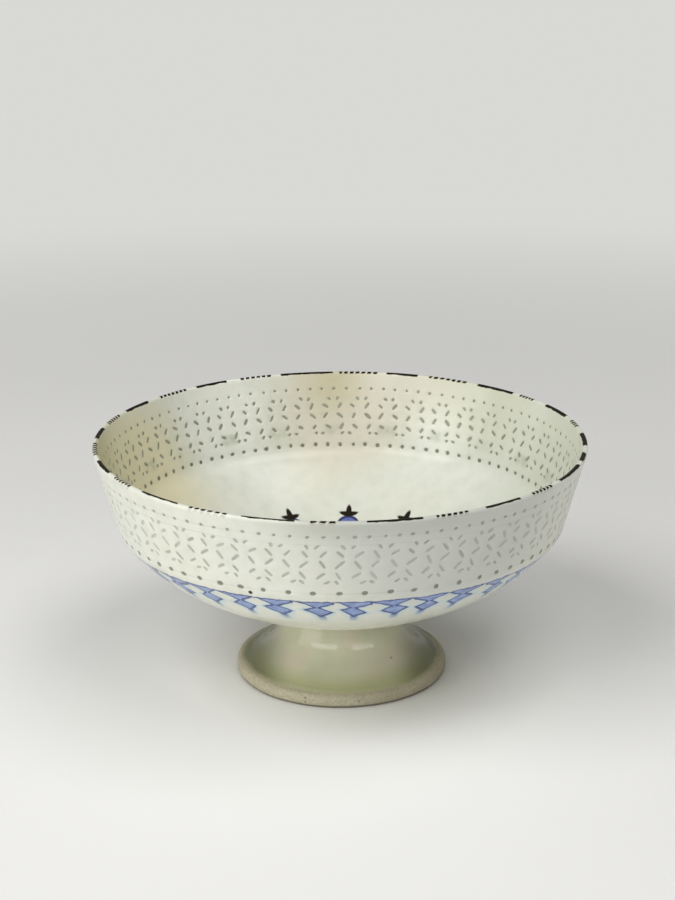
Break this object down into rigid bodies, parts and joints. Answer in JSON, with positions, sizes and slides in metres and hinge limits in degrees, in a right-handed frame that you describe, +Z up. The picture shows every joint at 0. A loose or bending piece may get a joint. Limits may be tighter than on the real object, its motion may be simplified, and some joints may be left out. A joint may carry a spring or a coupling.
{
  "type": "footed bowl",
  "caption": "Footed bowl of white fritware: steep flaring pierced wall over a shallow rounded body, on a hollow flared pedestal with an unglazed edge.",
  "frame": {"origin": "centre of the foot's standing ring, on the table", "axes": "+Z up along the bowl's axis of revolution; +X and +Y alike, because the bowl is round"},
  "size_m": [0.2, 0.2, 0.101],
  "materials": {
    "white_glaze": "clear alkaline glaze over white fritware",
    "green_glaze": "grey-green glaze, unglazed edge",
    "fired_slip": "matt"
  },
  "bodies": {
    "root": {"bowl_body": "white_glaze", "foot_body": "green_glaze", "luting_slip": "fired_slip"}
  },
  "joints": []
}
